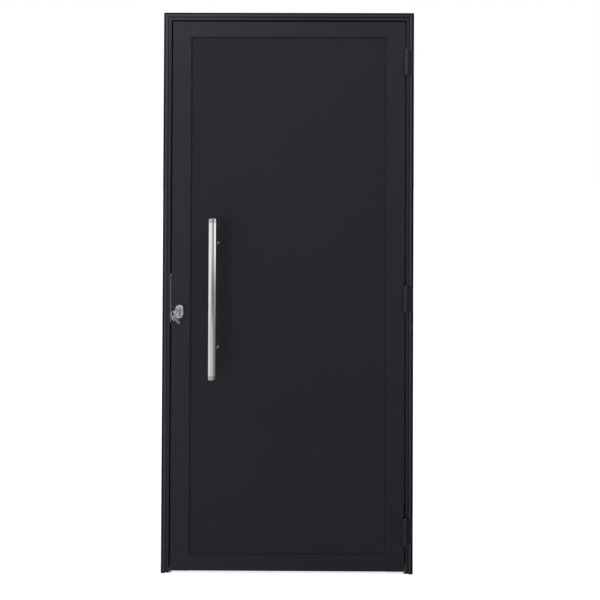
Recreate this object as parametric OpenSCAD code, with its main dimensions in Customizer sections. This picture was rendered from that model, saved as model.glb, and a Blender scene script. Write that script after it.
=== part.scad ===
// Aluminium plank door in its frame, with a tubular pull bar and a cylinder lock.
// X runs along the wall, Y into the room and Z up. The origin lies on the floor, midway
// across the frame and midway between the front of the pull bar and the back of the frame.
// The lock is at -X, the hinges are at +X, and the leaf opens towards -Y.
// Inside each module, Y = 0 is the front face of the closed leaf.

/* [Frame] */
// Width over the frame
frame_w = 964; // [780:1:1200]
// Height from the floor to the top of the frame
frame_h = 2148; // [1900:1:2500]
// Width of the frame's face, from the wall to the leaf
frame_face = 29; // [28:0.5:45]
// Wall of the frame's extrusion
frame_wall = 1.8; // [1.4:0.1:2.4]
// Width of the raised lip along the wall
lip_w = 16.5; // [8:0.5:18]
// How far the lip stands in front of the leaf
lip_proud = 3; // [2.5:0.1:6]
// How far the lip's rounded crown stands above its edges
lip_sag = 1.8; // [0.8:0.1:2.4]
// Width of the shadow line beside the lip
shadow_w = 1.2; // [0.8:0.1:2]
// Depth of the shadow line
shadow_d = 1; // [0.8:0.1:2]
// How far the door stop reaches into the opening
stop_w = 16; // [14:0.5:24]
// Thickness of the door stop
stop_t = 14; // [12:0.5:24]
// Distance between the leaf and the stop, filled by the seal
seal_room = 5; // [4.5:0.25:8]
// Width of the seal's slot in the stop
seal_slot_w = 4; // [3.5:0.25:5]
// Depth of the seal's slot
seal_slot_d = 5; // [4:0.25:6]
// Length of each arm of a corner cleat
cleat_arm = 75; // [50:1:110]
// Depth of a corner cleat
cleat_d = 30; // [20:1:36]

/* [Wall fixings] */
// Radius of the holes for the wall screws
fixing_r = 3.3; // [2.5:0.1:4.5]
// Distance of the end holes from the floor and from the top of the frame
fixing_inset = 300; // [250:5:330]

/* [Leaf] */
// Gap between the leaf and the frame
edge_gap = 5; // [4.5:0.25:7]
// Gap under the leaf
floor_gap = 8; // [4:0.5:15]
// Thickness of the leaf
leaf_t = 35; // [32:0.5:45]
// Visible width of the stiles
stile_w = 71.5; // [66:0.5:95]
// Visible width of the rails
rail_w = 59.5; // [50:0.5:95]
// Wall of the stiles and rails
leaf_wall = 1.8; // [1.4:0.1:2.4]
// Width of the lip that covers the panel's edge
cover_w = 14; // [12:0.5:18]
// Thickness of the gasket between that lip and the panel
gasket_t = 3; // [2:0.1:4]
// Radius of the outer edges of the extrusions
edge_r = 1; // [0.4:0.1:1.6]
// Radius of the screws that join rails and stiles
rail_screw_r = 2; // [1.5:0.1:2.5]
// Length of those screws
rail_screw_l = 30; // [20:1:45]

/* [Planks] */
// Number of interlocking planks in the panel
plank_count = 11; // [9:1:11]
// Thickness of a plank
plank_t = 10; // [8:0.5:13]
// Wall of a plank
plank_wall = 1.2; // [0.9:0.1:1.6]
// Height of the tongue on a plank's upper edge
tongue_h = 6; // [4:0.5:9]
// Thickness of the tongue
tongue_t = 4; // [2.5:0.25:5]
// Width of the closed joint between two planks
plank_joint = 0.1; // [0.05:0.05:0.5]
// Room for the planks at stiles and rails
plank_play = 2; // [1:0.25:4]
// Wall of the beads that hold the panel
bead_wall = 1.4; // [1:0.1:2]

/* [Hinges] */
// Length of the hinge's three knuckles together
hinge_l = 96; // [75:1:130]
// Radius of the barrel
barrel_r = 6.5; // [5.5:0.1:7]
// Radius of the pin
pin_r = 3; // [2:0.1:3.5]
// Height of the domed head on each end of the pin
pin_head_h = 5; // [3:0.25:7]
// Thickness of the wing on the frame
frame_wing_t = 3; // [2:0.25:4]
// Thickness of the wing on the leaf's edge
leaf_wing_t = 2.5; // [2:0.25:3]
// How far the wing reaches along the leaf's edge
leaf_wing_d = 30; // [24:0.5:31]
// Distance of the end hinges from the top and bottom of the leaf
hinge_inset = 156; // [120:1:220]
// Height of the middle hinge above the floor
middle_hinge_z = 1050; // [800:1:1300]
// Radius of the hinge screws
hinge_screw_r = 2; // [1.6:0.1:2.4]

/* [Pull bar] */
// Length of the bar
bar_l = 600; // [450:5:800]
// Diameter of the bar
bar_d = 32; // [24:0.5:40]
// Wall of the bar's tube
bar_wall = 1.5; // [1:0.1:2.5]
// Visible length of the cap on each end of the bar
cap_l = 16; // [10:0.5:25]
// Distance between the posts
post_spacing = 400; // [300:5:430]
// Diameter of a post
post_d = 10; // [9:0.5:18]
// Distance of the bar's axis from the panel
bar_standoff = 60.5; // [50:0.5:80]
// Distance of the bar's axis from the leaf's lock edge
handle_inset = 178; // [120:1:220]
// Height of the bar's middle above the floor
handle_z = 1062; // [950:1:1150]
// Radius of the bolts that hold the posts
bolt_r = 3; // [2.5:0.25:3.25]

/* [Lock] */
// Height of the cylinder's axis above the floor
lock_z = 1006; // [900:1:1100]
// Distance of the cylinder's axis from the leaf's lock edge
backset = 32; // [27:0.5:34]
// Length of the forend
forend_l = 220; // [210:1:240]
// Width of the forend
forend_w = 22; // [20:0.5:24]
// Thickness of the forend
forend_t = 2; // [1.8:0.1:2.5]
// Thickness of the strike plate
strike_t = 1.5; // [1:0.1:1.8]
// Width of the strike plate
strike_w = 29; // [22:0.5:31]
// Length of the strike plate
strike_l = 188; // [180:1:200]
// Height of the strike plate's middle above the cylinder's axis
strike_rise = 43; // [40:0.5:46]
// Height of the forend's middle above the cylinder's axis
forend_rise = 32; // [28:1:36]
// Height of the deadbolt's middle above the cylinder's axis
bolt_rise = 38; // [36:0.5:40]
// Height of the roller's middle above the cylinder's axis
roller_rise = 80; // [78:0.5:84]
// Height of the deadbolt
deadbolt_h = 28; // [20:0.5:30]
// Thickness of the deadbolt and of the latch carriage
deadbolt_t = 12; // [10:0.5:12]
// Length of the deadbolt
deadbolt_l = 42; // [36:0.5:44]
// Radius of the latch roller
roller_r = 6; // [5:0.1:6]
// Height of the latch roller
roller_h = 11; // [8:0.25:12]
// How far the roller stands out of the leaf's edge
roller_proud = 2.6; // [1.5:0.1:2.7]
// Length of the lock case behind the forend
case_d = 46; // [45:0.5:50]
// Thickness of the lock case
case_t = 16; // [16:0.25:18]
// How far the forend reaches past each end of the lock case
ear_l = 25; // [18:0.5:30]
// Wall of the lock case
case_wall = 1.5; // [1:0.1:1.6]
// How far the cylinder stands out of each face of the leaf
cylinder_out = 13.5; // [10:0.5:15]
// Radius of the round top of the cylinder
cylinder_r = 8.5; // [8:0.1:9]
// Radius of the turning plug
plug_r = 6.45; // [6:0.05:6.6]
// Width of the oval escutcheon
escutcheon_w = 31; // [29:0.5:40]
// Height of the oval escutcheon
escutcheon_h = 53; // [50:0.5:60]
// Thickness of the oval escutcheon
escutcheon_t = 8; // [6:0.5:10]

/* [Keys] */
// Thickness of a key
key_t = 2.2; // [1.8:0.1:2.4]
// Height of the key's blade
blade_h = 8.4; // [7:0.1:8.8]
// Length of the key's blade
blade_l = 28; // [24:0.5:34]
// Half the height of the key's bow
bow_r = 10.5; // [9.5:0.25:12]
// Length of the key's bow
bow_l = 27; // [25:0.5:32]
// Radius of the key ring
ring_r = 9.5; // [8.5:0.1:16]
// Radius of the key ring's wire
ring_wire_r = 0.9; // [0.6:0.05:1]

/* [Fits] */
// Running clearance of pins and plugs, on the radius
running = 0.05; // [0.02:0.01:0.1]
// Clearance of pieces that are put together by hand
fit = 0.15; // [0.05:0.05:0.25]
// Clearance of pieces that slide or swing past each other
slide_gap = 0.3; // [0.2:0.05:0.4]

/* [Hidden] */
$fn = 48;
eps = 1;
paint = [0.17, 0.175, 0.185];
panel_paint = [0.155, 0.16, 0.17];
black_rubber = [0.05, 0.05, 0.05];
bare_aluminium = [0.72, 0.73, 0.75];
stainless = [0.78, 0.78, 0.77];
chrome = [0.85, 0.86, 0.88];
brass = [0.78, 0.62, 0.3];

// Outlines shared by frame and leaf
frame_edge = frame_w / 2;
rebate_edge = frame_edge - frame_face;
leaf_edge = rebate_edge - edge_gap;
leaf_bottom = floor_gap;
leaf_top = frame_h - frame_face - edge_gap;
leaf_h = leaf_top - leaf_bottom;
stop_front = leaf_t + seal_room;
stop_end = frame_face + stop_w;
frame_back = stop_front + stop_t;
seal_u = frame_face + (edge_gap + stop_w) / 2;
crown_r = (lip_w * lip_w / 4 + lip_sag * lip_sag) / (2 * lip_sag);
crown_turn = asin(lip_w / 2 / crown_r);
fixing_count = 4;
mitre = stop_end + frame_face;

// The leaf's panel
stile_tube = stile_w - cover_w;
rail_tube = rail_w - cover_w;
panel_front = leaf_wall + gasket_t;
panel_back = panel_front + plank_t;
panel_bottom = leaf_bottom + rail_tube + plank_play;
panel_top = leaf_top - rail_tube - plank_play;
plank_pitch = (panel_top - panel_bottom) / plank_count;
plank_half_l = leaf_edge - stile_tube - plank_play;
groove_h = tongue_h + slide_gap;
bead_front = panel_back + fit;
screw_head_h = 3;
access_r = 2 * rail_screw_r + 0.5;
plug_rim = 0.8;
boss_in = leaf_wall + access_r + 2.5;
boss_wall = 1.9;
boss_web_t = 1.6;

// The pull bar
bar_r = bar_d / 2;
bar_x = handle_inset - leaf_edge;
bar_y = panel_front - bar_standoff;
cap_edge_r = 2;
cap_bevel = 0.5;
cap_plug_l = 14;
post_r = post_d / 2;
post_end_y = bar_y + bar_r - 4;
bolt_in = 18;
front_reach = bar_standoff + bar_r - panel_front;
face_y = (front_reach - frame_back) / 2;

// The hinges
hinge_x = rebate_edge - edge_gap / 2;
hinge_y = -barrel_r - 0.5;
hinge_zs = [leaf_bottom + hinge_inset, middle_hinge_z, leaf_top - hinge_inset];
knuckle_l = hinge_l / 3;
wing_outer = frame_edge - 0.5;
wing_notch = hinge_x + barrel_r - 0.5;
wing_screw_us = [0.27 * frame_face, 0.62 * frame_face];
wing_screw_z = hinge_l / 2 - 14;
hinge_screw_l = 14;

// The lock, measured from the leaf's lock edge
edge_x = -leaf_edge;
lock_x = edge_x + backset;
lock_y = leaf_t / 2;
forend_z = lock_z + forend_rise;
strike_z = lock_z + strike_rise;
deadbolt_z = lock_z + bolt_rise;
roller_z = lock_z + roller_rise;
case_x = edge_x + forend_t;
case_front = lock_y - case_t / 2;
case_h = forend_l - 2 * ear_l;
case_bottom = forend_z - case_h / 2;
ear_t = 4;
plate_screw_in = 8;
forend_screw_z = forend_l / 2 - plate_screw_in;
strike_screw_z = strike_l / 2 - plate_screw_in;
plate_corner = 3;
plate_screw_r = 2;
plate_screw_l = 10;
head_room = 0.9;
carriage_h = roller_h + 2 * slide_gap + 7;
carriage_back = edge_x + 32;
roller_x = edge_x + roller_r - roller_proud;
roller_pin_r = 1.5;
guide_l = 26;
spring_r = 3.5;
spring_wire_r = 0.5;
spring_turns = 5;
spring_l = case_x + case_d - case_wall - carriage_back;
lobe_r = 5;
lobe_drop = 19.5;
cylinder_screw_r = 2.5;
cam_w = 10;
cam_r = 13.5;
bridge_top = cam_r + 1;
escutcheon_z = lock_z - (lobe_drop + lobe_r - cylinder_r) / 2;
key_depth = 17;
key_tip_y = key_depth - cylinder_out;
bow_at = blade_l + bow_l / 2 - 1.5;
bow_side = bow_l / 2 - bow_r;
key_hole_at = bow_at + 3;
key_hole_r = 4;
key_hole_side = 2;
key_hole_y = key_tip_y - key_hole_at;
ring_in = ring_r - ring_wire_r - fit;
rim_half = (bow_r - key_hole_r) / 2;
ring_at = [lock_x + key_t / 2 - sqrt(ring_in * ring_in - rim_half * rim_half), key_hole_y,
           lock_z - key_hole_r - rim_half];
spare_lean = 16;
spare_tilt = 41;
spare_spin = 112;
spare_drop = 4.2;

function two_digits(number) = number < 10 ? str("0", number) : str(number);
function plank_name(index) = str("plank_", two_digits(index + 1));
HINGE_NAMES = ["bottom", "middle", "top"];

// Places a piece from the leaf's face plane into the part's own frame
module at_face() {
    translate([0, face_y, 0]) children();
}

// Extrudes an outline of (y, z) along +X
module along_x(length) {
    rotate([90, 0, 90]) linear_extrude(length) children();
}

// Extrudes an outline of (x, z) along +Y
module along_y(length) {
    translate([0, length, 0]) rotate([90, 0, 0]) linear_extrude(length) children();
}

// A round bar along +X or +Y
module rod_x(length, radius) {
    rotate([0, 90, 0]) cylinder(h = length, r = radius);
}

module rod_y(length, radius) {
    rotate([-90, 0, 0]) cylinder(h = length, r = radius);
}

// Points of a rounded corner, turning from one angle to another
function corner(centre, radius, from, to, steps = 4) =
    [for (i = [0:steps]) centre + radius * [cos(from + (to - from) * i / steps),
                                            sin(from + (to - from) * i / steps)]];

// A rectangle about the origin with true round corners
module round_plate(width, height, radius) {
    square([width - 2 * radius, height], center = true);
    square([width, height - 2 * radius], center = true);
    for (x = [-1, 1], y = [-1, 1])
        translate([x * (width / 2 - radius), y * (height / 2 - radius)]) circle(r = radius);
}

// A countersunk screw along +Z with its head's top at z = 0, or the hole for it when grown
module countersunk(radius, length, grow = 0) {
    head_h = radius * 1.05;
    translate([0, 0, -grow]) cylinder(h = grow + fit, r = 2 * radius + grow);
    cylinder(h = head_h, r1 = 2 * radius + grow, r2 = radius + grow);
    cylinder(h = length, r = radius + grow);
}

// The frame

// Section of jambs and head: u from the wall towards the opening, v from the leaf's face back
module frame_section() {
    difference() {
        polygon(concat(
            corner([lip_w / 2, crown_r - lip_proud], crown_r, -90 - crown_turn, -90 + crown_turn, 8),
            [[lip_w, shadow_d], [lip_w + shadow_w, shadow_d], [lip_w + shadow_w, 0]],
            corner([frame_face - edge_r, edge_r], edge_r, -90, 0),
            [[frame_face, stop_front]],
            corner([stop_end - edge_r, stop_front + edge_r], edge_r, -90, 0),
            corner([stop_end - edge_r, frame_back - edge_r], edge_r, 0, 90),
            [[0, frame_back]]));
        translate([seal_u - seal_slot_w / 2, stop_front - eps])
            square([seal_slot_w, seal_slot_d + eps]);
        polygon([
            [frame_wall, shadow_d + frame_wall],
            [frame_face - frame_wall, shadow_d + frame_wall],
            [frame_face - frame_wall, stop_front + seal_slot_d + frame_wall],
            [stop_end - frame_wall, stop_front + seal_slot_d + frame_wall],
            [stop_end - frame_wall, frame_back - frame_wall],
            [frame_wall, frame_back - frame_wall]]);
    }
}

// Half of the corner square above or below the mitre at the lock side
module mitre_half(above) {
    translate([-frame_edge, -lip_proud - eps, frame_h])
        along_y(frame_back + lip_proud + 2 * eps)
            polygon(above ? [[-eps, eps], [mitre, -mitre], [mitre, eps]]
                          : [[-eps, eps], [-eps, -mitre], [mitre, -mitre]]);
}

// One jamb on the lock side, mitred at the top and drilled for the wall screws
module jamb() {
    fixing_step = (frame_h - 2 * fixing_inset) / (fixing_count - 1);
    difference() {
        translate([-frame_edge, 0, 0]) linear_extrude(frame_h) frame_section();
        mitre_half(true);
        for (i = [0:fixing_count - 1])
            translate([-frame_edge - eps, lock_y, fixing_inset + i * fixing_step])
                rod_x(frame_face + 2 * eps, fixing_r);
    }
}

module lock_jamb() {
    at_face() color(paint) difference() {
        jamb();
        translate([-rebate_edge - frame_wall - eps, lock_y, 0]) {
            translate([0, 0, deadbolt_z]) along_x(frame_wall + 2 * eps)
                round_plate(deadbolt_t + 3, deadbolt_h + 5, 2);
            translate([0, 0, roller_z]) along_x(frame_wall + 2 * eps)
                round_plate(2 * roller_r + 4, roller_h + 8, 2);
            for (side = [-1, 1])
                translate([0, 0, strike_z + side * strike_screw_z])
                    rod_x(frame_wall + 2 * eps, plate_screw_r + head_room);
        }
    }
}

module hinge_jamb() {
    at_face() color(paint) difference() {
        mirror([1, 0, 0]) jamb();
        for (z = hinge_zs) {
            translate([frame_edge - lip_w - shadow_w - eps, -lip_proud - eps, z - hinge_l / 2 - slide_gap])
                cube([lip_w + shadow_w + 2 * eps, lip_proud + eps, hinge_l + 2 * slide_gap]);
            for (u = wing_screw_us, side = [-1, 1])
                translate([frame_edge - u, -eps, z + side * wing_screw_z])
                    rod_y(shadow_d + frame_wall + 2 * eps, hinge_screw_r + fit);
        }
    }
}

module head() {
    at_face() color(paint) difference() {
        translate([-frame_edge, 0, frame_h]) rotate([0, 90, 0]) linear_extrude(frame_w) frame_section();
        for (side = [0, 1]) mirror([side, 0, 0]) mitre_half(false);
    }
}

// Angle pieces in the hollow of jamb and head that hold the mitres together
module corner_cleats() {
    inset = frame_wall + fit;
    width = frame_face - 2 * inset;
    rib = 3;
    at_face() color(bare_aluminium) for (side = [0, 1]) mirror([side, 0, 0])
        translate([-frame_edge, shadow_d + frame_wall + fit, frame_h]) difference() {
            along_y(cleat_d) polygon([
                [inset, -inset], [cleat_arm, -inset], [cleat_arm, -inset - width],
                [inset + width, -inset - width], [inset + width, -cleat_arm], [inset, -cleat_arm]]);
            translate([inset + width, -eps, -inset - width + rib])
                cube([cleat_arm - width - inset - rib, cleat_d + 2 * eps, width - 2 * rib]);
            translate([inset + rib, -eps, -cleat_arm + rib])
                cube([width - 2 * rib, cleat_d + 2 * eps, cleat_arm - width - inset - rib]);
        }
}

// Section of the seal: a hollow bulb against the leaf and a foot in the stop's slot
module seal_section() {
    bulb_r = (seal_room - 2 * slide_gap) / 2;
    difference() {
        union() {
            translate([seal_u, stop_front - bulb_r - fit]) circle(r = bulb_r);
            translate([seal_u - seal_slot_w * 0.8, stop_front - fit - 0.8]) square([seal_slot_w * 1.6, 0.8]);
            translate([seal_u - seal_slot_w / 2 + fit, stop_front - fit - 0.4])
                square([seal_slot_w - 2 * fit, seal_slot_d + 0.4]);
        }
        translate([seal_u, stop_front - bulb_r - fit]) circle(r = bulb_r - 0.9);
    }
}

module frame_seals() {
    seal_half = seal_slot_w * 0.8;
    head_start = seal_u - seal_slot_w / 2 + fit;
    at_face() color(black_rubber) {
        for (side = [0, 1]) mirror([side, 0, 0])
            translate([-frame_edge, 0, 0])
                linear_extrude(frame_h - seal_u - seal_half - slide_gap) seal_section();
        translate([-frame_edge + head_start, 0, frame_h]) rotate([0, 90, 0])
            linear_extrude(frame_w - 2 * head_start) seal_section();
    }
}

module strike_plate() {
    at_face() color(stainless) translate([-rebate_edge, lock_y, 0]) difference() {
        translate([0, 0, strike_z]) along_x(strike_t) round_plate(strike_w, strike_l, plate_corner);
        translate([-eps, 0, deadbolt_z]) along_x(strike_t + 2 * eps)
            round_plate(deadbolt_t + 2, deadbolt_h + 4, 1.5);
        translate([-eps, 0, roller_z]) along_x(strike_t + 2 * eps)
            round_plate(2 * roller_r + 3, roller_h + 7, 1.5);
        for (side = [-1, 1])
            translate([strike_t, 0, strike_z + side * strike_screw_z])
                rotate([0, -90, 0]) countersunk(plate_screw_r, strike_t + eps, fit);
    }
}

module strike_screws() {
    at_face() color(stainless) for (side = [-1, 1])
        translate([-rebate_edge + strike_t, lock_y, strike_z + side * strike_screw_z])
            rotate([0, -90, 0]) countersunk(plate_screw_r, plate_screw_l);
}

// The hinges

// A knuckle of the barrel between two heights, without its bore
module knuckle(from, to) {
    translate([hinge_x, hinge_y, from]) cylinder(h = to - from, r = barrel_r);
}

module hinge_frame_wing(z) {
    half = hinge_l / 2;
    middle = knuckle_l / 2;
    at_face() color(paint) difference() {
        union() {
            translate([wing_notch, -frame_wing_t, z - half])
                cube([wing_outer - wing_notch, frame_wing_t, hinge_l]);
            for (end = [[-half, -middle - fit], [middle + fit, half]]) {
                translate([hinge_x + barrel_r / 2, -frame_wing_t, z + end[0]])
                    cube([wing_notch - hinge_x, frame_wing_t, end[1] - end[0]]);
                knuckle(z + end[0], z + end[1]);
            }
        }
        translate([hinge_x, hinge_y, z - half - eps]) cylinder(h = hinge_l + 2 * eps, r = pin_r + running);
        for (u = wing_screw_us, side = [-1, 1])
            translate([frame_edge - u, -frame_wing_t, z + side * wing_screw_z])
                rotate([-90, 0, 0]) countersunk(hinge_screw_r, frame_wing_t + eps, fit);
    }
}

module hinge_pins() {
    head_r = barrel_r - 0.8;
    at_face() color(paint) for (z = hinge_zs) translate([hinge_x, hinge_y, z]) {
        cylinder(h = hinge_l + 1, r = pin_r, center = true);
        for (side = [0, 1]) mirror([0, 0, side])
            translate([0, 0, hinge_l / 2 + fit]) rotate_extrude() intersection() {
                translate([0, pin_head_h - head_r]) circle(r = head_r);
                square([head_r, pin_head_h]);
            }
    }
}

module hinge_frame_screws() {
    at_face() color(paint) for (z = hinge_zs, u = wing_screw_us, side = [-1, 1])
        translate([frame_edge - u, -frame_wing_t, z + side * wing_screw_z])
            rotate([-90, 0, 0]) countersunk(hinge_screw_r, hinge_screw_l);
}

module hinge_leaf_wing(z) {
    middle = knuckle_l / 2 - fit;
    at_face() color(paint) difference() {
        union() {
            translate([leaf_edge, 0, z - hinge_l / 2]) cube([leaf_wing_t, leaf_wing_d, hinge_l]);
            translate([leaf_edge, hinge_y, z - middle]) cube([leaf_wing_t, eps - hinge_y, 2 * middle]);
            knuckle(z - middle, z + middle);
        }
        translate([hinge_x, hinge_y, z - hinge_l / 2]) cylinder(h = hinge_l, r = pin_r + running);
        leaf_wing_screws(z, leaf_wing_t + eps, fit);
    }
}

// The three screws of one leaf wing, or their holes when grown
module leaf_wing_screws(z, length, grow = 0) {
    for (step = [-1, 0, 1])
        translate([leaf_edge + leaf_wing_t, leaf_wing_d * 0.6, z + step * wing_screw_z])
            rotate([0, -90, 0]) countersunk(hinge_screw_r, length, grow);
}

module hinge_leaf_screws() {
    at_face() color(paint) for (z = hinge_zs) leaf_wing_screws(z, hinge_screw_l);
}

// The leaf

// Section of stiles and rails: s from the leaf's edge inwards, v from the face back
module leaf_section(width) {
    tube = width - cover_w;
    lip_r = leaf_wall / 3;
    difference() {
        polygon(concat(
            corner([edge_r, edge_r], edge_r, 180, 270),
            corner([width - lip_r, lip_r], lip_r, -90, 0),
            [[width, leaf_wall], [tube, leaf_wall], [tube, leaf_t]],
            corner([edge_r, leaf_t - edge_r], edge_r, 90, 180)));
        translate([leaf_wall, leaf_wall]) square([tube - 2 * leaf_wall, leaf_t - 2 * leaf_wall]);
    }
}

// Places of the two screw bosses in a rail, as (s, v)
boss_places = [[boss_in, boss_in], [rail_tube - boss_in, leaf_t - boss_in]];

// A rail's section has two screw bosses, each on a web from a side wall
module rail_section() {
    difference() {
        union() {
            leaf_section(rail_w);
            for (place = boss_places) translate(place) circle(r = rail_screw_r + boss_wall);
            translate([leaf_wall / 2, boss_places[0][1] - boss_web_t / 2]) square([boss_in, boss_web_t]);
            translate([rail_tube - boss_in - leaf_wall / 2, boss_places[1][1] - boss_web_t / 2])
                square([boss_in, boss_web_t]);
        }
        for (place = boss_places) translate(place) circle(r = rail_screw_r + fit / 2);
    }
}

// Heights of the rail screws, with their distance behind the face
rail_screw_places = concat(
    [for (place = boss_places) [place[1], leaf_top - place[0]]],
    [for (place = boss_places) [place[1], leaf_bottom + place[0]]]);

// One stile on the lock side with the screw holes for both rails
module stile() {
    difference() {
        translate([-leaf_edge, 0, leaf_bottom]) linear_extrude(leaf_h) leaf_section(stile_w);
        for (place = rail_screw_places) {
            translate([-leaf_edge + stile_tube - leaf_wall - eps, place[0], place[1]])
                rod_x(leaf_wall + 2 * eps, rail_screw_r + fit);
            translate([-leaf_edge - eps, place[0], place[1]]) rod_x(leaf_wall + 2 * eps, access_r);
        }
    }
}

module lock_stile() {
    at_face() color(paint) difference() {
        stile();
        translate([edge_x - eps, lock_y, forend_z]) along_x(leaf_wall + 2 * eps)
            round_plate(forend_w + 2 * fit, forend_l + 2 * fit, plate_corner);
        translate([lock_x, -eps, lock_z]) along_y(leaf_t + 2 * eps) cylinder_section(2 * slide_gap);
    }
}

module hinge_stile() {
    at_face() color(paint) difference() {
        mirror([1, 0, 0]) stile();
        for (z = hinge_zs, step = [-1, 0, 1])
            translate([leaf_edge - leaf_wall - eps, leaf_wing_d * 0.6, z + step * wing_screw_z])
                rod_x(leaf_wall + 2 * eps, hinge_screw_r + fit);
    }
}

// One rail, with its face cut back at both ends to fit against the stiles' lips
module rail() {
    half_l = leaf_edge - stile_tube;
    difference() {
        translate([-half_l, 0, 0]) rotate([0, 90, 0]) linear_extrude(2 * half_l) rail_section();
        for (side = [0, 1]) mirror([side, 0, 0])
            translate([-half_l - eps, -eps, -rail_w - eps])
                cube([cover_w + eps, leaf_wall + fit + eps, rail_w + 2 * eps]);
    }
}

module top_rail() {
    at_face() color(paint) translate([0, 0, leaf_top]) rail();
}

module bottom_rail() {
    at_face() color(paint) translate([0, 0, leaf_bottom]) mirror([0, 0, 1]) rail();
}

// Screws through the stiles' inner walls into the bosses of the rails
module rail_screws() {
    head_x = -leaf_edge + stile_tube - leaf_wall - screw_head_h;
    at_face() color(stainless) for (side = [0, 1], place = rail_screw_places) mirror([side, 0, 0])
        translate([head_x, place[0], place[1]]) {
            rod_x(screw_head_h, 2 * rail_screw_r);
            rod_x(rail_screw_l, rail_screw_r);
        }
}

// Plugs in the holes that the rail screws are driven through
module access_plugs() {
    at_face() color(black_rubber) for (side = [0, 1], place = rail_screw_places) mirror([side, 0, 0])
        translate([-leaf_edge, place[0], place[1]]) {
            translate([-plug_rim, 0, 0]) rod_x(plug_rim, access_r + plug_rim);
            rod_x(leaf_wall + 3, access_r - fit);
        }
}

// Section of a plank: hollow, with a tongue above and a groove below
module plank_section(has_tongue) {
    body_h = plank_pitch - plank_joint;
    cells = 3;
    cells_h = body_h - groove_h - (cells + 1) * plank_wall;
    difference() {
        union() {
            square([plank_t, body_h]);
            if (has_tongue)
                translate([(plank_t - tongue_t) / 2, body_h - eps]) square([tongue_t, tongue_h + eps]);
        }
        translate([(plank_t - tongue_t) / 2 - fit, -eps]) square([tongue_t + 2 * fit, groove_h + eps]);
        for (i = [0:cells - 1])
            translate([plank_wall, groove_h + plank_wall + i * (cells_h / cells + plank_wall)])
                square([plank_t - 2 * plank_wall, cells_h / cells]);
    }
}

module plank(index) {
    at_face() color(panel_paint) difference() {
        translate([-plank_half_l, panel_front, panel_bottom + index * plank_pitch])
            along_x(2 * plank_half_l) plank_section(index < plank_count - 1);
        for (side = [-1, 1])
            translate([bar_x, panel_front - eps, handle_z + side * post_spacing / 2])
                rod_y(plank_t + 2 * eps, bolt_r + slide_gap);
    }
}

// Hollow section of a bead, from the panel's back to the leaf's back
module bead_section() {
    depth = leaf_t - bead_front;
    difference() {
        polygon(concat(
            [[0, 0], [cover_w, 0]],
            corner([cover_w - edge_r, depth - edge_r], edge_r, 0, 90),
            [[0, depth]]));
        translate([bead_wall, bead_wall]) square([cover_w - 2 * bead_wall, depth - 2 * bead_wall]);
    }
}

module side_bead(side) {
    at_face() color(paint) mirror([side, 0, 0])
        translate([-leaf_edge + stile_tube, bead_front, leaf_bottom + rail_tube])
            linear_extrude(leaf_h - 2 * rail_tube) bead_section();
}

module bead_lock_side() {
    side_bead(0);
}

module bead_hinge_side() {
    side_bead(1);
}

// A level bead hangs below the top rail or stands on the bottom rail
module level_bead() {
    half_l = leaf_edge - stile_w;
    translate([-half_l, bead_front, 0]) rotate([0, 90, 0]) linear_extrude(2 * half_l) bead_section();
}

module bead_top() {
    at_face() color(paint) translate([0, 0, leaf_top - rail_tube]) level_bead();
}

module bead_bottom() {
    at_face() color(paint) translate([0, 0, leaf_bottom + rail_tube]) mirror([0, 0, 1]) level_bead();
}

// Black strips that press the panel against the beads
module panel_gaskets() {
    strip_w = cover_w / 2;
    inset = 0.5;
    thick = gasket_t - fit;
    inner_x = leaf_edge - stile_w + inset;
    at_face() color(black_rubber) translate([0, leaf_wall + fit / 2, 0]) {
        for (side = [0, 1]) mirror([side, 0, 0])
            translate([inner_x, 0, panel_bottom]) cube([strip_w, thick, panel_top - panel_bottom]);
        for (z = [leaf_bottom + rail_w - inset - strip_w, leaf_top - rail_w + inset])
            translate([-inner_x + fit, 0, z]) cube([2 * (inner_x - fit), thick, strip_w]);
    }
}

// The pull bar

// A tube with two sockets for the posts
module pull_bar() {
    tube_l = bar_l - 2 * cap_l;
    at_face() color(stainless) translate([bar_x, bar_y, handle_z]) difference() {
        cylinder(h = tube_l, r = bar_r, center = true);
        cylinder(h = tube_l + 2 * eps, r = bar_r - bar_wall, center = true);
        for (side = [-1, 1])
            translate([0, 0, side * post_spacing / 2]) rod_y(bar_r + eps, post_r + fit);
    }
}

// Turned caps with a rounded rim, each with a plug that sits in the tube
module bar_caps() {
    plug_edge = bar_r - bar_wall - fit;
    at_face() color(stainless) for (side = [0, 1])
        translate([bar_x, bar_y, handle_z]) mirror([0, 0, side]) translate([0, 0, bar_l / 2 - cap_l])
            rotate_extrude() polygon(concat(
                [[0, -cap_plug_l], [plug_edge, -cap_plug_l], [plug_edge, 0]],
                [[bar_r - cap_bevel, 0], [bar_r, cap_bevel]],
                corner([bar_r - cap_edge_r, cap_l - cap_edge_r], cap_edge_r, 0, 90),
                [[0, cap_l]]));
}

// A turned post that stands on the panel, with a threaded hole for its bolt
module post(z) {
    at_face() color(stainless) translate([bar_x, 0, z]) difference() {
        translate([0, post_end_y, 0]) rod_y(panel_front - post_end_y, post_r);
        translate([0, panel_front - bolt_in - eps, 0]) rod_y(bolt_in + 2 * eps, bolt_r + fit);
    }
}

module upper_post() {
    post(handle_z + post_spacing / 2);
}

module lower_post() {
    post(handle_z - post_spacing / 2);
}

// Bolts from the room side with domed heads on the panel's back
module handle_bolts() {
    head_r = 2.4 * bolt_r;
    head_h = 1.1 * bolt_r;
    dome_r = (head_r * head_r + head_h * head_h) / (2 * head_h);
    at_face() color(stainless) for (side = [-1, 1])
        translate([bar_x, panel_back, handle_z + side * post_spacing / 2]) {
            translate([0, -plank_t - bolt_in + 1, 0]) rod_y(plank_t + bolt_in, bolt_r);
            rotate([-90, 0, 0]) rotate_extrude() intersection() {
                translate([0, head_h - dome_r]) circle(r = dome_r);
                square([head_r, head_h]);
            }
        }
}

// The lock

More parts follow.
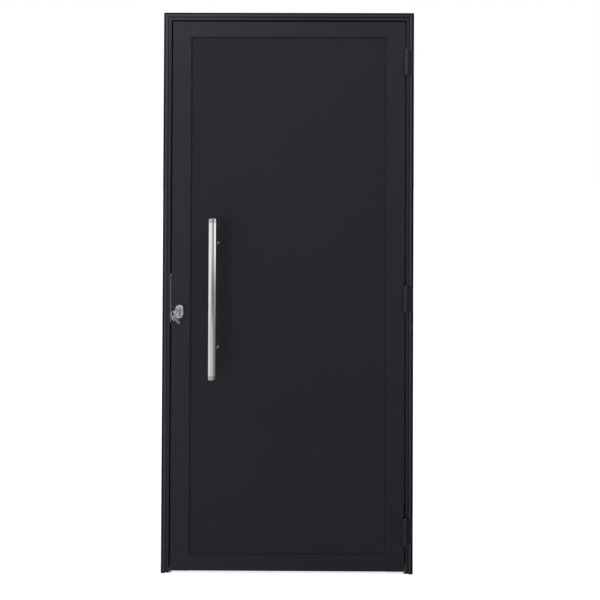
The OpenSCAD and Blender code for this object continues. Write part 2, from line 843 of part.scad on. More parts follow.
// Outline of the cylinder: a round top and a narrow round-ended lobe below
module cylinder_section(grow = 0) {
    circle(r = cylinder_r + grow);
    translate([-lobe_r - grow, -lobe_drop]) square([2 * (lobe_r + grow), lobe_drop]);
    translate([0, -lobe_drop]) circle(r = lobe_r + grow);
}

// Sections of what passes through the forend, as (y, z) about their own middles
module deadbolt_section(grow = 0) {
    square([deadbolt_t + 2 * grow, deadbolt_h + 2 * grow], center = true);
}

module carriage_section(grow = 0) {
    square([deadbolt_t + 2 * grow, carriage_h + 2 * grow], center = true);
}

// An open tray with ears behind the forend and shelves that guide bolt and latch
module lock_case() {
    tray_front = case_front + case_wall;
    inner_back = case_front + case_t - case_wall;
    shelf_d = inner_back - tray_front - slide_gap;
    at_face() color(bare_aluminium) difference() {
        union() {
            difference() {
                translate([case_x, tray_front, case_bottom])
                    cube([case_d, case_t - case_wall, case_h]);
                translate([case_x + case_wall, tray_front - eps, case_bottom + case_wall])
                    cube([case_d - 2 * case_wall, inner_back - tray_front + eps, case_h - 2 * case_wall]);
            }
            for (z = [case_bottom - ear_l + fit, case_bottom + case_h - eps])
                translate([case_x, tray_front, z])
                    cube([ear_t, case_t - case_wall, ear_l + eps - fit]);
            for (z = [deadbolt_z - deadbolt_h / 2 - slide_gap - case_wall, deadbolt_z + deadbolt_h / 2 + slide_gap,
                      roller_z - carriage_h / 2 - slide_gap - case_wall, roller_z + carriage_h / 2 + slide_gap])
                translate([case_x + case_wall - fit, inner_back - shelf_d, z])
                    cube([guide_l, shelf_d + fit, case_wall]);
        }
        translate([case_x - eps, lock_y, deadbolt_z])
            along_x(case_wall + 2 * eps) deadbolt_section(slide_gap);
        translate([case_x - eps, lock_y, roller_z])
            along_x(case_wall + 2 * eps) carriage_section(slide_gap);
        translate([case_x - eps, lock_y, lock_z - lobe_drop])
            rod_x(case_wall + 2 * eps, cylinder_screw_r + head_room);
        for (side = [-1, 1])
            translate([case_x - eps, lock_y, forend_z + side * forend_screw_z])
                rod_x(ear_t + 2 * eps, plate_screw_r + fit);
        translate([lock_x, inner_back - eps, lock_z]) along_y(case_wall + 2 * eps) cylinder_section(slide_gap);
    }
}

module lock_cover() {
    at_face() color(bare_aluminium) difference() {
        translate([case_x, case_front, case_bottom]) cube([case_d, case_wall, case_h]);
        translate([lock_x, case_front - eps, lock_z]) along_y(case_wall + 2 * eps) cylinder_section(slide_gap);
    }
}

module forend() {
    at_face() color(stainless) translate([edge_x, lock_y, 0]) difference() {
        translate([0, 0, forend_z]) along_x(forend_t) round_plate(forend_w, forend_l, plate_corner);
        translate([-eps, 0, deadbolt_z]) along_x(forend_t + 2 * eps) deadbolt_section(slide_gap);
        translate([-eps, 0, roller_z]) along_x(forend_t + 2 * eps) carriage_section(slide_gap);
        for (side = [-1, 1])
            translate([0, 0, forend_z + side * forend_screw_z])
                rotate([0, 90, 0]) countersunk(plate_screw_r, forend_t + eps, fit);
        translate([0, 0, lock_z - lobe_drop])
            rotate([0, 90, 0]) countersunk(cylinder_screw_r, forend_t + eps, fit);
    }
}

module forend_screws() {
    at_face() color(stainless) for (side = [-1, 1])
        translate([edge_x, lock_y, forend_z + side * forend_screw_z])
            rotate([0, 90, 0]) countersunk(plate_screw_r, plate_screw_l);
}

module deadbolt() {
    at_face() color(stainless) translate([edge_x + fit, lock_y, deadbolt_z])
        along_x(deadbolt_l) deadbolt_section();
}

// A block with a fork in front for the roller and a seat behind for the spring
module latch_carriage() {
    fork_h = roller_h + 2 * slide_gap;
    at_face() color(bare_aluminium) difference() {
        translate([edge_x + fit, lock_y, roller_z])
            along_x(carriage_back - edge_x - fit) carriage_section();
        translate([edge_x - eps, lock_y - deadbolt_t, roller_z - fork_h / 2])
            cube([2 * roller_r + 2 * eps, 2 * deadbolt_t, fork_h]);
        translate([roller_x, lock_y, roller_z]) cylinder(h = carriage_h + 2 * eps, r = roller_pin_r + running, center = true);
    }
}

module roller_pin() {
    at_face() color(stainless) translate([roller_x, lock_y, roller_z])
        cylinder(h = carriage_h, r = roller_pin_r, center = true);
}

module latch_roller() {
    rim = 0.8;
    half = roller_h / 2;
    at_face() color(brass) translate([roller_x, lock_y, roller_z]) rotate_extrude() polygon([
        [roller_pin_r + running, -half], [roller_r - rim, -half], [roller_r, rim - half],
        [roller_r, half - rim], [roller_r - rim, half], [roller_pin_r + running, half]]);
}

// A coil swept along a helix about X: rings of points joined side to side
function coil_point(turn, around) =
    [turn / spring_turns * (spring_l - 2 * spring_wire_r - fit) + spring_wire_r + fit / 2 + spring_wire_r * cos(around),
     (spring_r + spring_wire_r * sin(around)) * cos(360 * turn),
     (spring_r + spring_wire_r * sin(around)) * sin(360 * turn)];

module latch_spring() {
    sides = 6;
    steps = 14 * spring_turns;
    points = [for (i = [0:steps], j = [0:sides - 1]) coil_point(i * spring_turns / steps, j * 360 / sides)];
    walls = [for (i = [0:steps - 1], j = [0:sides - 1]) let (k = (j + 1) % sides)
        [i * sides + j, i * sides + k, (i + 1) * sides + k, (i + 1) * sides + j]];
    first_end = [for (j = [0:sides - 1]) sides - 1 - j];
    last_end = [for (j = [0:sides - 1]) steps * sides + j];
    at_face() color(stainless) translate([carriage_back, lock_y, roller_z])
        polyhedron(points, concat(walls, [first_end, last_end]));
}

module cylinder_body() {
    length = leaf_t + 2 * cylinder_out;
    slot_w = cam_w + 2 * slide_gap;
    at_face() color(chrome) translate([lock_x, -cylinder_out, lock_z]) difference() {
        along_y(length) cylinder_section();
        translate([0, -eps, 0]) rod_y(length + 2 * eps, plug_r + running);
        translate([-2 * cylinder_r, (length - slot_w) / 2, -bridge_top])
            cube([4 * cylinder_r, slot_w, 4 * cylinder_r]);
        translate([-2 * lobe_r, length / 2, -lobe_drop]) rod_x(4 * lobe_r, cylinder_screw_r + fit);
    }
}

module cylinder_screw() {
    at_face() color(stainless) translate([edge_x, lock_y, lock_z - lobe_drop])
        rotate([0, 90, 0]) countersunk(cylinder_screw_r, backset + lobe_r);
}

// The plug turns with the key and carries the cam in the middle of the cylinder
module cylinder_plug() {
    length = leaf_t + 2 * cylinder_out;
    cam_half = 4;
    at_face() color(brass) translate([lock_x, -cylinder_out, lock_z]) difference() {
        union() {
            rod_y(length, plug_r);
            translate([0, (length - cam_w) / 2, 0]) along_y(cam_w) {
                circle(r = cylinder_r - fit);
                intersection() {
                    circle(r = cam_r);
                    translate([-cam_half, 0]) square([2 * cam_half, 2 * cam_r]);
                }
            }
        }
        translate([-key_t / 2 - fit, -eps, -blade_h / 2 - fit])
            cube([key_t + 2 * fit, key_depth + eps + fit, blade_h + 2 * fit]);
    }
}

// An oval rose with a bevelled rim and a hole of the cylinder's outline
module escutcheon() {
    round_r = escutcheon_w / 2;
    bevel = 2.5;
    top_r = round_r - bevel;
    rim_t = escutcheon_t - bevel;
    rise = escutcheon_h / 2 - round_r;
    difference() {
        union() {
            for (side = [-1, 1]) translate([0, 0, side * rise]) rotate([90, 0, 0]) {
                cylinder(h = rim_t, r = round_r);
                translate([0, 0, rim_t]) cylinder(h = bevel, r1 = round_r, r2 = top_r);
            }
            translate([0, 0, -rise]) linear_extrude(2 * rise) polygon([
                [-round_r, 0], [round_r, 0], [round_r, -rim_t],
                [top_r, -escutcheon_t], [-top_r, -escutcheon_t], [-round_r, -rim_t]]);
        }
        translate([0, -escutcheon_t - eps, lock_z - escutcheon_z])
            along_y(escutcheon_t + 2 * eps) cylinder_section(slide_gap);
    }
}

module escutcheon_front() {
    at_face() color(chrome) translate([lock_x, 0, escutcheon_z]) escutcheon();
}

module escutcheon_back() {
    at_face() color(chrome) translate([lock_x, leaf_t, escutcheon_z]) mirror([0, 1, 0]) escutcheon();
}

// The keys

// A circle drawn out along x by the given distance to each side
module long_circle(radius, side) {
    for (end = [-side, side]) translate([end, 0]) circle(r = radius);
    square([2 * side, 2 * radius], center = true);
}

// Outline of a key: the blade's tip at the origin, the bow along +x
module key_section() {
    notches = [[4.5, 1.8], [9, 3], [13.5, 1.5]];
    difference() {
        union() {
            translate([0, -blade_h / 2]) square([bow_at, blade_h]);
            translate([bow_at, 0]) long_circle(bow_r, bow_side);
        }
        translate([key_hole_at, 0]) long_circle(key_hole_r, key_hole_side);
        for (notch = notches)
            translate([notch[0], blade_h / 2])
                polygon([[-notch[1], eps / 2], [0, -notch[1]], [notch[1], eps / 2]]);
    }
}

module key() {
    at_face() color(chrome) translate([lock_x - key_t / 2, key_tip_y, lock_z])
        mirror([0, 1, 0]) along_x(key_t) key_section();
}

module key_ring() {
    at_face() color(stainless) translate(ring_at)
        rotate([90, 0, 0]) rotate_extrude() translate([ring_r, 0]) circle(r = ring_wire_r);
}

module spare_key() {
    at_face() color(chrome) translate(ring_at - [0, 0, ring_r])
        rotate([0, -spare_lean, 0]) rotate([spare_tilt, 0, 0]) rotate([0, 0, -spare_spin])
            translate([0, -key_t / 2, 0]) along_y(key_t) rotate(90)
                translate([-key_hole_at - spare_drop, 0]) key_section();
}

lock_jamb();
hinge_jamb();
head();
corner_cleats();
frame_seals();
strike_plate();
strike_screws();
for (i = [0:2]) {
    hinge_frame_wing(hinge_zs[i]);
    hinge_leaf_wing(hinge_zs[i]);
}
hinge_pins();
hinge_frame_screws();
hinge_leaf_screws();
lock_stile();
hinge_stile();
top_rail();
bottom_rail();
for (i = [0:plank_count - 1])
    plank(i);
bead_lock_side();
bead_hinge_side();
bead_top();
bead_bottom();
panel_gaskets();
rail_screws();
access_plugs();
pull_bar();
bar_caps();
upper_post();
lower_post();
handle_bolts();
lock_case();
lock_cover();
forend();
forend_screws();
deadbolt();
latch_carriage();
roller_pin();
latch_roller();
latch_spring();
cylinder_body();
cylinder_screw();
cylinder_plug();
escutcheon_front();
escutcheon_back();
key();
key_ring();
spare_key();
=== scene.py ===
import math

import bpy
import numpy as np
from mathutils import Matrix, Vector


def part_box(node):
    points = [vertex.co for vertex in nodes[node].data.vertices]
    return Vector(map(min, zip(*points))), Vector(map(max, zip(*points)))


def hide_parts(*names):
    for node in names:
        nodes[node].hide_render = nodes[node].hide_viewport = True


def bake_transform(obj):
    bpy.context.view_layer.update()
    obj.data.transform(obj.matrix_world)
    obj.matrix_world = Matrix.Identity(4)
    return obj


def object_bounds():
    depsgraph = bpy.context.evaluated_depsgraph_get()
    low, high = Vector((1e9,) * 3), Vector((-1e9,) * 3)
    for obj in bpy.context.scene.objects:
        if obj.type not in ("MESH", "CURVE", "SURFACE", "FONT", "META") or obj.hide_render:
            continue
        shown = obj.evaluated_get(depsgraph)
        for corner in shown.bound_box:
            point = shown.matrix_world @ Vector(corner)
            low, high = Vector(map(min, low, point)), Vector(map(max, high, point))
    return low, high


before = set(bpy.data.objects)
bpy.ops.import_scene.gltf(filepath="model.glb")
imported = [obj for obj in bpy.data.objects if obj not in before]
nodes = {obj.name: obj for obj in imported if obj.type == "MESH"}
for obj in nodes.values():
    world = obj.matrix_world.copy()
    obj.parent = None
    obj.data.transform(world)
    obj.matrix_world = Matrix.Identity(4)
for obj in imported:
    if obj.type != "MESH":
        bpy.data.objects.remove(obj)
first_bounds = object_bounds()


# Frame: two jambs and a head of extruded aluminium, mitred and joined by hidden cleats, and powder coated
# in a satin blue-black. Its coat has a painted highlight on the rounded lip's crown, painted shade in the
# groove inside the lip and painted shade along the outer edge by the wall. Bulb seals of black rubber are
# pressed into a slot in the stop.
def new_material(name):
    """An empty material and its Principled shader."""
    material = bpy.data.materials.new(name)
    material.use_nodes = True
    return material, material.node_tree.nodes["Principled BSDF"]


def object_noise(tree, scale, detail):
    """Noise from 0 to 1 on the piece's own coordinates."""
    place = tree.nodes.new("ShaderNodeTexCoord")
    noise = tree.nodes.new("ShaderNodeTexNoise")
    noise.inputs["Scale"].default_value = scale
    noise.inputs["Detail"].default_value = detail
    tree.links.new(place.outputs["Object"], noise.inputs["Vector"])
    return noise.outputs["Fac"]


def remap(value, source, target):
    """Carries a value from one range to another; each range is a pair of ends."""
    tree = value.id_data
    step = tree.nodes.new("ShaderNodeMapRange")
    step.inputs["From Min"].default_value = source[0]
    step.inputs["From Max"].default_value = source[1]
    step.inputs["To Min"].default_value = target[0]
    step.inputs["To Max"].default_value = target[1]
    tree.links.new(value, step.inputs["Value"])
    return step.outputs["Result"]


def scale_colour(tree, factor):
    """A node that multiplies a colour by a factor; the colour goes into its first socket."""
    scaled = tree.nodes.new("ShaderNodeVectorMath")
    scaled.operation = "SCALE"
    tree.links.new(factor, scaled.inputs["Scale"])
    return scaled


def coat_material(name, colour, roughness, specular):
    """Powder coat: a dark base whose value and gloss follow broad noise, with a fine grain in the normal."""
    cloud_scale = 2.3
    cloud_detail = 3.0
    cloud_ends = (0.3, 0.7)
    value_ends = (0.92, 1.08)
    gloss_ends = (roughness - 0.03, roughness + 0.03)
    cool_sheen = (0.93, 1.0, 1.13, 1.0)
    grain_scale = 1400.0
    grain_detail = 1.0
    grain_strength = 0.06
    grain_height = 0.0004
    material, shader = new_material(name)
    tree = material.node_tree
    clouds = object_noise(tree, cloud_scale, cloud_detail)
    tint = scale_colour(tree, remap(clouds, cloud_ends, value_ends))
    tint.inputs[0].default_value = colour
    tree.links.new(tint.outputs["Vector"], shader.inputs["Base Color"])
    tree.links.new(remap(clouds, cloud_ends, gloss_ends), shader.inputs["Roughness"])
    shader.inputs["Specular IOR Level"].default_value = specular
    shader.inputs["Specular Tint"].default_value = cool_sheen
    bump = tree.nodes.new("ShaderNodeBump")
    bump.inputs["Strength"].default_value = grain_strength
    bump.inputs["Distance"].default_value = grain_height
    tree.links.new(object_noise(tree, grain_scale, grain_detail), bump.inputs["Height"])
    tree.links.new(bump.outputs["Normal"], shader.inputs["Normal"])
    return material


frame_coat = coat_material("frame coat", (0.0086, 0.0094, 0.0112), roughness=0.28, specular=0.45)


def arithmetic(operation, first, second):
    """One arithmetic step in a node tree; each operand is a number or another node's output."""
    outputs = [operand for operand in (first, second) if not isinstance(operand, (int, float))]
    tree = outputs[0].id_data
    step = tree.nodes.new("ShaderNodeMath")
    step.operation = operation
    for socket, operand in zip(step.inputs, (first, second)):
        if isinstance(operand, (int, float)):
            socket.default_value = operand
        else:
            tree.links.new(operand, socket)
    return step.outputs["Value"]


def point_axes(tree, space):
    """X, Y and Z in one of Blender's coordinate spaces, as three outputs."""
    place = tree.nodes.new("ShaderNodeTexCoord")
    axes = tree.nodes.new("ShaderNodeSeparateXYZ")
    tree.links.new(place.outputs[space], axes.inputs["Vector"])
    return axes.outputs


frame_axes = point_axes(frame_coat.node_tree, "Object")
outer_x = first_bounds[1][0]
outer_z = first_bounds[1][2]
from_side = arithmetic("SUBTRACT", outer_x, arithmetic("ABSOLUTE", frame_axes["X"], 0.0))
from_top = arithmetic("SUBTRACT", outer_z, frame_axes["Z"])
lip_reach = 0.040
lip_share = arithmetic("DIVIDE", arithmetic("MINIMUM", from_side, from_top), lip_reach)


def grey(value):
    """A neutral colour."""
    return (value, value, value)


def smooth_ramp(share, stops):
    """Colours eased into each other along a share from 0 to 1; each stop is a share and a colour."""
    tree = share.id_data
    ramp = tree.nodes.new("ShaderNodeValToRGB")
    ramp.color_ramp.interpolation = "EASE"
    elements = ramp.color_ramp.elements
    elements.remove(elements[-1])
    for index, (position, colour) in enumerate(stops):
        element = elements[0] if index == 0 else elements.new(position)
        element.position = position
        element.color = (*colour, 1.0)
    tree.links.new(share, ramp.inputs["Fac"])
    return ramp.outputs["Color"]


def lip_shades(stops):
    """A value across the lip; each stop is a distance from the frame's outer edge and the value there."""
    return smooth_ramp(lip_share, [(distance / lip_reach, grey(value)) for distance, value in stops])


# Painted light and shade across the lip: painted shade along the frame's outer edge by the wall, a painted
# highlight on the lip's crown and painted shade in the groove inside the lip.
edge_shade_value = 0.2
edge_shade_end = 0.006
crown_start = 0.0085
crown_end = 0.014
crown_foot = 0.0165
groove_edge = 0.0145
groove_start = 0.016
groove_end = 0.0185
flat_start = 0.020
edge_shade = lip_shades([(0.0, edge_shade_value), (edge_shade_end, edge_shade_value), (crown_start, 1.0)])
crown_highlight = lip_shades([(0.0, 0.0), (edge_shade_end, 0.0), (crown_start, 1.0), (crown_end, 1.0), (crown_foot, 0.0)])
groove_shade = lip_shades([(0.0, 0.0), (groove_edge, 0.0), (groove_start, 1.0), (groove_end, 1.0),
                     (flat_start, 0.0)])

# The painted highlight on the crown is stronger towards the lock side, and the painted shade in the
# groove is darker towards the hinge side.
crown_highlight_middle = 0.60
crown_highlight_slope = 0.40
groove_shade_middle = 0.28
groove_shade_slope = 0.58
crown_highlight_strength = arithmetic("SUBTRACT", crown_highlight_middle,
                         arithmetic("MULTIPLY", frame_axes["X"], crown_highlight_slope))
groove_shade_strength = arithmetic("ADD", groove_shade_middle,
                          arithmetic("MULTIPLY", frame_axes["X"], groove_shade_slope))
lip_painted_light = arithmetic("ADD", edge_shade, arithmetic("MULTIPLY", crown_highlight, crown_highlight_strength))
lip_painted_light = arithmetic("SUBTRACT", lip_painted_light, arithmetic("MULTIPLY", groove_shade, groove_shade_strength))
lip_painted_light_change = arithmetic("SUBTRACT", lip_painted_light, 1.0)
street_depth = 0.012
street_side = arithmetic("LESS_THAN", frame_axes["Y"], street_depth)


def shade_coat(material, factor):
    """Paints light and shade: scales a coat's colour and specular level by a factor that varies by place."""
    tree = material.node_tree
    shader = tree.nodes["Principled BSDF"]
    level = shader.inputs["Specular IOR Level"]
    tree.links.new(arithmetic("MULTIPLY", factor, level.default_value), level)
    shaded = scale_colour(tree, factor)
    tree.links.new(shader.inputs["Base Color"].links[0].from_socket, shaded.inputs[0])
    tree.links.new(shaded.outputs["Vector"], shader.inputs["Base Color"])


# On its front, the frame's coat gets this painted light and shade.
shade_coat(frame_coat, arithmetic("ADD", 1.0, arithmetic("MULTIPLY", street_side, lip_painted_light_change)))


def paint(names, material):
    """Gives each of these CAD nodes the material in all its slots."""
    for name in names:
        slots = nodes[name].data.materials
        slots.clear()
        slots.append(material)


def soften(names):
    """Shades round faces as smooth: joins the triangles, splits them at real edges, weighs the normals."""
    weld_distance = 0.000002
    edge_angle = math.radians(32.0)
    for name in names:
        piece = nodes[name]
        piece.data.polygons.foreach_set("use_smooth", np.ones(len(piece.data.polygons), bool))
        weld = piece.modifiers.new("weld", "WELD")
        weld.merge_threshold = weld_distance
        split = piece.modifiers.new("split", "EDGE_SPLIT")
        split.split_angle = edge_angle
        piece.modifiers.new("weigh", "WEIGHTED_NORMAL")


frame_bars = ["lock_jamb", "hinge_jamb", "head"]
paint(frame_bars, frame_coat)
soften(frame_bars)


def plain_material(name, colour, metallic, roughness):
    """One colour over the whole piece, with a faint grain in its roughness."""
    grain_scale = 260.0
    grain_detail = 2.0
    gloss_ends = (max(roughness - 0.04, 0.02), roughness + 0.04)
    material, shader = new_material(name)
    shader.inputs["Base Color"].default_value = (*colour, 1.0)
    shader.inputs["Metallic"].default_value = metallic
    tree = material.node_tree
    grain = object_noise(tree, grain_scale, grain_detail)
    tree.links.new(remap(grain, (0.0, 1.0), gloss_ends), shader.inputs["Roughness"])
    return material


black_rubber = plain_material("black rubber", (0.010, 0.010, 0.011), metallic=0.0, roughness=0.75)
paint(["frame_seals"], black_rubber)
mill_aluminium = plain_material("mill aluminium", (0.62, 0.63, 0.65), metallic=1.0, roughness=0.42)
paint(["corner_cleats"], mill_aluminium)

# Strike: a stainless plate screwed into the lock jamb, with a window for the deadbolt and one for the
# roller latch.
plate_steel = plain_material("plate steel", (0.78, 0.78, 0.79), metallic=0.8, roughness=0.50)
paint(["strike_plate", "strike_screws"], plate_steel)

# Hinges: three steel butt hinges coated like the frame, with a wing on the jamb's face, a wing on the
# leaf's edge and a pin with domed heads through the barrel. The coat right of the barrels, on the jamb's
# wings, has painted shade, so the wings read darker than the barrels.
hinge_coat = coat_material("hinge coat", (0.0120, 0.0128, 0.0150), roughness=0.26, specular=0.50)
# Painted shade: the hinge coat right of the barrels is darkened in colour and specular level.
wing_painted_shade = 0.35
barrel_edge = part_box("hinge_leaf_wing_top")[1].x
beside_barrel = arithmetic("GREATER_THAN", point_axes(hinge_coat.node_tree, "Object")["X"], barrel_edge)
shade_coat(hinge_coat, arithmetic("SUBTRACT", 1.0, arithmetic("MULTIPLY", beside_barrel, wing_painted_shade)))
wings = [f"hinge_{side}_wing_{place}" for side in ("frame", "leaf") for place in ("bottom", "middle", "top")]
paint(wings + ["hinge_pins", "hinge_frame_screws", "hinge_leaf_screws"], hinge_coat)
soften(wings + ["hinge_pins"])

# Leaf: hollow stiles and rails with a lip over the panel's edge, screwed at the corners, with beads
# behind the panel. They have a coat like the frame's; gaskets and plugs are dark grey rubber.
leaf_coat = coat_material("leaf coat", (0.0096, 0.0104, 0.0126), roughness=0.36, specular=0.40)
paint(["lock_stile", "hinge_stile", "top_rail", "bottom_rail"], leaf_coat)
paint(["bead_lock_side", "bead_hinge_side", "bead_top", "bead_bottom"], leaf_coat)
grey_rubber = plain_material("grey rubber", (0.052, 0.054, 0.060), metallic=0.0, roughness=0.70)
paint(["panel_gaskets", "access_plugs"], grey_rubber)
paint(["rail_screws"], plate_steel)

# Panel: hollow aluminium planks that lie edge to edge, tongue in groove, so that the face reads as one
# smooth sheet. Their coat is flatter than the stiles', so it hardly mirrors the bar.
panel_coat = coat_material("panel coat", (0.0118, 0.0129, 0.0157), roughness=0.55, specular=0.31)
paint(sorted(name for name in nodes if name.startswith("plank_")), panel_coat)

# Pull bar: a polished stainless tube with turned end caps a shade darker, held off the panel by two
# slim posts of satin steel that are bolted through the panel from the room side.
polished_steel = plain_material("polished steel", (0.85, 0.84, 0.83), metallic=1.0, roughness=0.10)
satin_steel = plain_material("satin steel", (0.84, 0.84, 0.83), metallic=0.8, roughness=0.50)
cap_steel = plain_material("cap steel", (0.54, 0.535, 0.53), metallic=1.0, roughness=0.14)
paint(["pull_bar", "handle_bolts"], polished_steel)
paint(["bar_caps"], cap_steel)
paint(["upper_post", "lower_post"], satin_steel)
soften(["pull_bar", "bar_caps", "handle_bolts", "upper_post", "lower_post"])

# Lock: a steel case behind a stainless forend, with a deadbolt, a sprung brass roller and a chromed
# cylinder between two oval escutcheons.
chrome = plain_material("chrome", (0.66, 0.66, 0.69), metallic=1.0, roughness=0.14)
brass = plain_material("brass", (0.62, 0.47, 0.22), metallic=1.0, roughness=0.22)
case_steel = plain_material("case steel", (0.42, 0.42, 0.41), metallic=1.0, roughness=0.38)
paint(["forend", "forend_screws", "deadbolt", "roller_pin", "cylinder_screw"], plate_steel)
paint(["lock_case", "lock_cover", "latch_carriage"], case_steel)
paint(["cylinder_body", "cylinder_plug", "escutcheon_front", "escutcheon_back"], chrome)
paint(["latch_roller"], brass)
soften(["cylinder_body", "cylinder_plug", "escutcheon_front", "escutcheon_back"])
soften(["latch_roller", "roller_pin"])

# Latch spring: an open coil of spring steel wire between the latch's carriage and the back of the case.
spring_low, spring_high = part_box("latch_spring")
spring_middle = (spring_low + spring_high) / 2.0
wire_radius = 0.0005
spring_turns = 5


def coil_surface(along_count, around_count):
    """Wire on a helix along X: the wire's centre turns about the axis as it advances, and the wire's round
    section is added to it, partly along the axis and partly outwards. Both ends are closed."""
    along, around = np.meshgrid(np.linspace(0.0, 1.0, along_count),
                                np.linspace(0.0, 2.0 * math.pi, around_count, endpoint=False), indexing="ij")
    centre_radius = (spring_high.y - spring_low.y) / 2.0 - wire_radius
    turn_angle = 2.0 * math.pi * spring_turns * along
    travel = spring_high.x - spring_low.x - 2.0 * wire_radius
    radius = centre_radius + wire_radius * np.sin(around)
    points = np.stack([spring_low.x + wire_radius * (1.0 + np.cos(around)) + travel * along,
                       spring_middle.y + radius * np.cos(turn_angle),
                       spring_middle.z + radius * np.sin(turn_angle)], axis=-1).reshape(-1, 3)
    index = np.arange(along_count * around_count).reshape(along_count, around_count)
    beside = np.roll(index, -1, axis=1)
    walls = np.stack([index[:-1], beside[:-1], beside[1:], index[1:]], axis=-1).reshape(-1, 4).tolist()
    ends = [index[0][::-1].tolist(), index[-1].tolist()]
    mesh = bpy.data.meshes.new("latch_spring_coil")
    mesh.from_pydata(points.tolist(), [], walls + ends)
    mesh.polygons.foreach_set("use_smooth", np.ones(len(mesh.polygons), bool))
    mesh.update()
    return mesh


spring = bpy.data.objects.new("latch_spring_coil", coil_surface(along_count=121, around_count=10))
bpy.context.scene.collection.objects.link(spring)
spring.data.materials.append(plate_steel)
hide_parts("latch_spring")
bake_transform(spring)

# Keys: two cut keys with a nickel plating, on a ring of bent wire. One key is in the lock, and the other
# hangs from the ring.
nickel = plain_material("nickel", (0.86, 0.86, 0.90), metallic=0.7, roughness=0.42)
paint(["key", "spare_key", "key_ring"], nickel)
soften(["key", "spare_key", "key_ring"])

# Floor: a large white sheet. Camera rays also see a little light of its own, so that it reads as white
# around the soft shadow, but not deep in the gaps beside the leaf. Reflections show only the surroundings.
floor_size = 60.0
floor_drop = 0.0005
floor_white = 0.9
floor_glow = 0.62
gap_half = 0.003
gap_margin = 0.005
bpy.ops.mesh.primitive_plane_add(size=floor_size, location=(0.0, 0.0, -floor_drop))
floor = bpy.context.object
floor.name = "floor"
floor_material, floor_shader = new_material("floor")
floor_tree = floor_material.node_tree
floor_shader.inputs["Base Color"].default_value = (*grey(floor_white), 1.0)
floor_shader.inputs["Roughness"].default_value = 0.9
floor_shader.inputs["Specular IOR Level"].default_value = 0.0
floor_shader.inputs["Emission Color"].default_value = (1.0, 1.0, 1.0, 1.0)
floor_axes = point_axes(floor_tree, "Object")
leaf_low, leaf_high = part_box("hinge_stile")
gap_middle = leaf_high.x + gap_half
from_gap = arithmetic("SUBTRACT", arithmetic("ABSOLUTE", floor_axes["X"], 0.0), gap_middle)
outside_gap = arithmetic("GREATER_THAN", arithmetic("ABSOLUTE", from_gap, 0.0), gap_margin)
before_leaf = arithmetic("LESS_THAN", floor_axes["Y"], leaf_low.y)
open_floor = arithmetic("MAXIMUM", outside_gap, before_leaf)
floor_rays = floor_tree.nodes.new("ShaderNodeLightPath")
camera_glow = arithmetic("MULTIPLY", floor_rays.outputs["Is Camera Ray"], floor_glow)
seen_glow = arithmetic("MULTIPLY", open_floor, camera_glow)
floor_tree.links.new(seen_glow, floor_shader.inputs["Emission Strength"])
floor.data.materials.append(floor_material)
floor.visible_glossy = False

# Surroundings: white to the camera. As light they are an open yard: bright sky and pale walls on the
# left and far right, a darker gap in front, and a brown wall low on the right, over dull ground.
world = bpy.data.worlds.new("surroundings")
bpy.context.scene.world = world
world.use_nodes = True
sky = world.node_tree
sky.nodes.clear()
sky_axes = point_axes(sky, "Generated")
bearing = arithmetic("ARCTAN2", sky_axes["X"], arithmetic("MULTIPLY", sky_axes["Y"], -1.0))
turn = remap(bearing, (-math.pi, math.pi), (0.0, 1.0))


def ring_of_colour(stops):
    """Colours round the horizon; each stop is a bearing in degrees right of straight ahead, and a colour."""
    return smooth_ramp(turn, [((degrees + 180.0) / 360.0, colour) for degrees, colour in stops])


def over(lower, upper, start, end):
    """The lower colour turns smoothly into the upper one between two heights of the direction."""
    step = sky.nodes.new("ShaderNodeMapRange")
    step.interpolation_type = "SMOOTHSTEP"
    step.inputs["From Min"].default_value = start
    step.inputs["From Max"].default_value = end
    sky.links.new(sky_axes["Z"], step.inputs["Value"])
    mix = sky.nodes.new("ShaderNodeMix")
    mix.data_type = "RGBA"
    sky.links.new(step.outputs["Result"], mix.inputs["Factor"])
    sky.links.new(lower, mix.inputs["A"])
    sky.links.new(upper, mix.inputs["B"])
    return mix.outputs["Result"]


ground = ring_of_colour([(-180, grey(0.25)), (-51, grey(0.42)), (-24, grey(0.38)), (-12, grey(0.28)),
                         (5, grey(0.13)), (60, grey(0.24)), (180, grey(0.25))])
low = ring_of_colour([(-150, grey(0.4)), (-100, grey(0.72)), (-51, grey(0.74)), (-24, grey(0.66)),
                      (-12, grey(0.46)), (-4, grey(0.30)), (10, grey(0.90)), (24, grey(0.52)),
                      (38, (0.34, 0.30, 0.29)), (66, (0.20, 0.15, 0.145)), (100, (0.34, 0.29, 0.29)),
                      (150, grey(0.3))])
middle = ring_of_colour([(-150, grey(0.5)), (-100, grey(0.80)), (-51, grey(0.92)), (-24, grey(0.62)),
                         (-12, grey(0.40)), (8, (0.23, 0.20, 0.20)), (36, (0.16, 0.13, 0.125)),
                         (68, (0.32, 0.29, 0.29)), (100, (0.5, 0.47, 0.47)), (150, grey(0.4))])
high = ring_of_colour([(-150, grey(0.6)), (-100, grey(0.90)), (-51, grey(0.98)), (-24, grey(0.95)),
                       (-12, grey(0.60)), (-3, grey(0.44)), (8, grey(0.52)), (34, grey(0.30)),
                       (46, grey(0.46)), (66, grey(1.15)), (100, grey(1.5)), (150, grey(0.8))])
zenith = ring_of_colour([(-180, grey(0.5)), (-100, grey(0.35)), (-60, grey(0.38)), (-22, grey(0.53)),
                         (0, grey(0.74)), (45, grey(1.15)), (90, grey(1.25)), (150, grey(0.8))])
light = over(ground, low, start=-0.62, end=-0.33)
light = over(light, middle, start=-0.285, end=-0.25)
light = over(light, high, start=-0.225, end=-0.15)
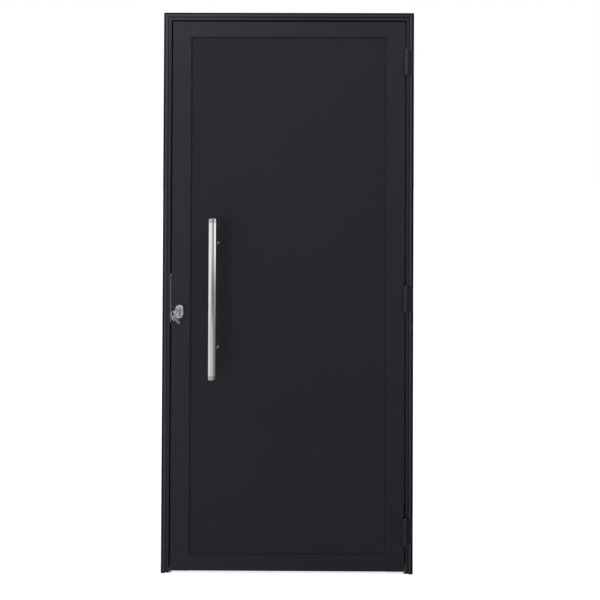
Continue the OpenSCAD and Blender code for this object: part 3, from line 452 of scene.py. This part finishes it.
light = over(light, zenith, start=0.0, end=0.25)
ambient = sky.nodes.new("ShaderNodeBackground")
sky.links.new(light, ambient.inputs["Color"])
white = sky.nodes.new("ShaderNodeBackground")
white.inputs["Color"].default_value = (1.0, 1.0, 1.0, 1.0)
sky_rays = sky.nodes.new("ShaderNodeLightPath")
choose = sky.nodes.new("ShaderNodeMixShader")
sky.links.new(sky_rays.outputs["Is Camera Ray"], choose.inputs["Fac"])
sky.links.new(ambient.outputs["Background"], choose.inputs[1])
sky.links.new(white.outputs["Background"], choose.inputs[2])
output = sky.nodes.new("ShaderNodeOutputWorld")
sky.links.new(choose.outputs["Shader"], output.inputs["Surface"])

# Light: one large soft lamp, high on the left in front of the door and turned towards it. It adds a
# little to the light of the surroundings.
lamp_width = 2.6
lamp_height = 2.0
lamp_power = 14.0
lamp_place = (-2.2, -3.0, 3.6)
lamp_tilt = math.radians(48.0)
lamp_turn = math.radians(-34.0)
lamp_data = bpy.data.lights.new("soft lamp", "AREA")
lamp_data.shape = "RECTANGLE"
lamp_data.size = lamp_width
lamp_data.size_y = lamp_height
lamp_data.energy = lamp_power
lamp = bpy.data.objects.new("soft lamp", lamp_data)
bpy.context.scene.collection.objects.link(lamp)
lamp.location = lamp_place
lamp.rotation_euler = (lamp_tilt, 0.0, lamp_turn)

# Camera: at eye height and straight at the wall, but standing near the hinge side, so the lens is shifted
# to the left and down to take in the whole door.
camera_place = (0.4242, -2.0251, 1.566)
camera_turn = (90.433, -0.163, 0.211)
lens_length = 31.743
sensor_width = 36.0
shift_right = -0.1613
shift_up = -0.233
camera_data = bpy.data.cameras.new("camera")
camera_data.sensor_width = sensor_width
camera_data.lens = lens_length
camera_data.shift_x = shift_right
camera_data.shift_y = shift_up
camera = bpy.data.objects.new("camera", camera_data)
camera.location = camera_place
camera.rotation_euler = [math.radians(degrees) for degrees in camera_turn]
bpy.context.scene.collection.objects.link(camera)
bpy.context.scene.camera = camera
bpy.context.scene.view_settings.view_transform = "Standard"
